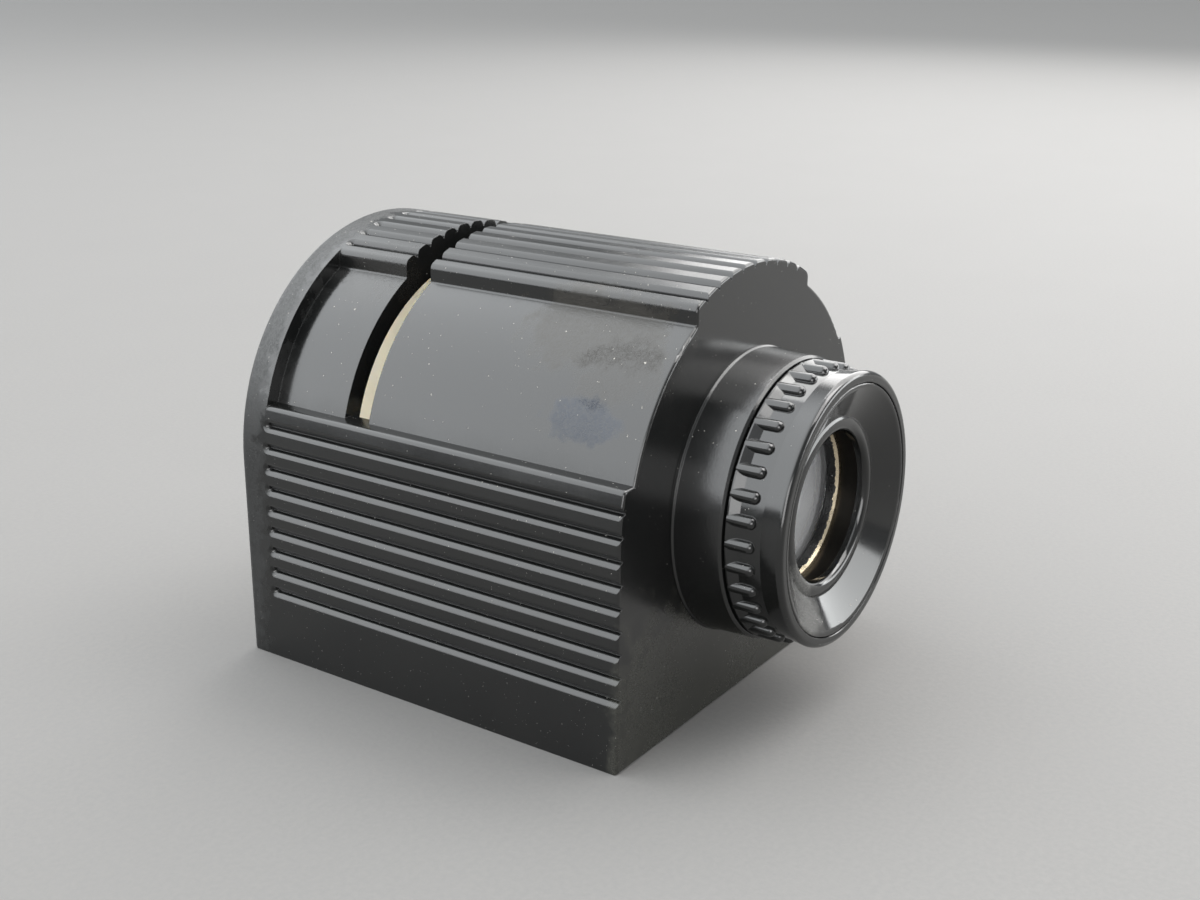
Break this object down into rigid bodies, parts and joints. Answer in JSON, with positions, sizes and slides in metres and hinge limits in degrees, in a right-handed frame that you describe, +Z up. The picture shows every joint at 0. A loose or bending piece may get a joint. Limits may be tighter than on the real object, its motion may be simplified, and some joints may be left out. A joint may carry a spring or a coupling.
{
  "type": "slide viewer",
  "caption": "Arch-shaped ribbed hand viewer for one mounted slide: a slot across the roof, a screw-focusing eyepiece in front and an opal diffuser behind.",
  "frame": {"origin": "under the middle of the whole object's box, on the surface that it stands on", "axes": "+Z up, the eyepiece looks out along -Y, +X to the right of someone looking in along +Y"},
  "size_m": [0.06, 0.0768, 0.0584],
  "materials": {
    "black_moulded_plastic": "satin black phenolic moulding, glossy on the sunk panels",
    "black_gloss_plastic": "polished black phenolic moulding",
    "opal_plastic": "cream opal, translucent",
    "blackened_metal": "matt black",
    "brass": "turned, lacquered",
    "aluminium": "turned",
    "glass": "polished lens",
    "steel": "zinc plated",
    "spring_bronze": "rolled spring strip"
  },
  "bodies": {
    "housing": {"housing": "black_moulded_plastic", "collar": "black_gloss_plastic", "collar_lock_ring": "blackened_metal", "guide_pin": "steel", "slide_mask": "blackened_metal", "mask_screws": "steel", "left_slide_spring": "spring_bronze", "right_slide_spring": "spring_bronze", "spring_rivets": "aluminium", "diffuser": "opal_plastic", "rear_frame": "black_moulded_plastic", "frame_screws": "steel"},
    "lens_unit": {"lens_tube": "blackened_metal", "tube_nut": "blackened_metal", "lens_retainer": "brass", "eye_lens": "glass", "lens_spacer": "aluminium", "field_lens": "glass"},
    "focus_ring": {"focus_ring": "black_gloss_plastic", "eye_cone": "black_gloss_plastic"}
  },
  "joints": [
    {"name": "lens_slide", "type": "slide", "parent": "housing", "child": "lens_unit", "axis": [0, -1, 0], "range_m": [0, 0.0056]},
    {"name": "focus_turn", "type": "hinge", "parent": "lens_unit", "child": "focus_ring", "pos_m": [0, -0.0318, 0.02835], "axis": [0, -1, 0], "range_deg": [0, 448.2]}
  ],
  "couplings": [
    {"joint": "focus_turn", "follows": "lens_slide", "rad_per_m": 1396.3}
  ]
}
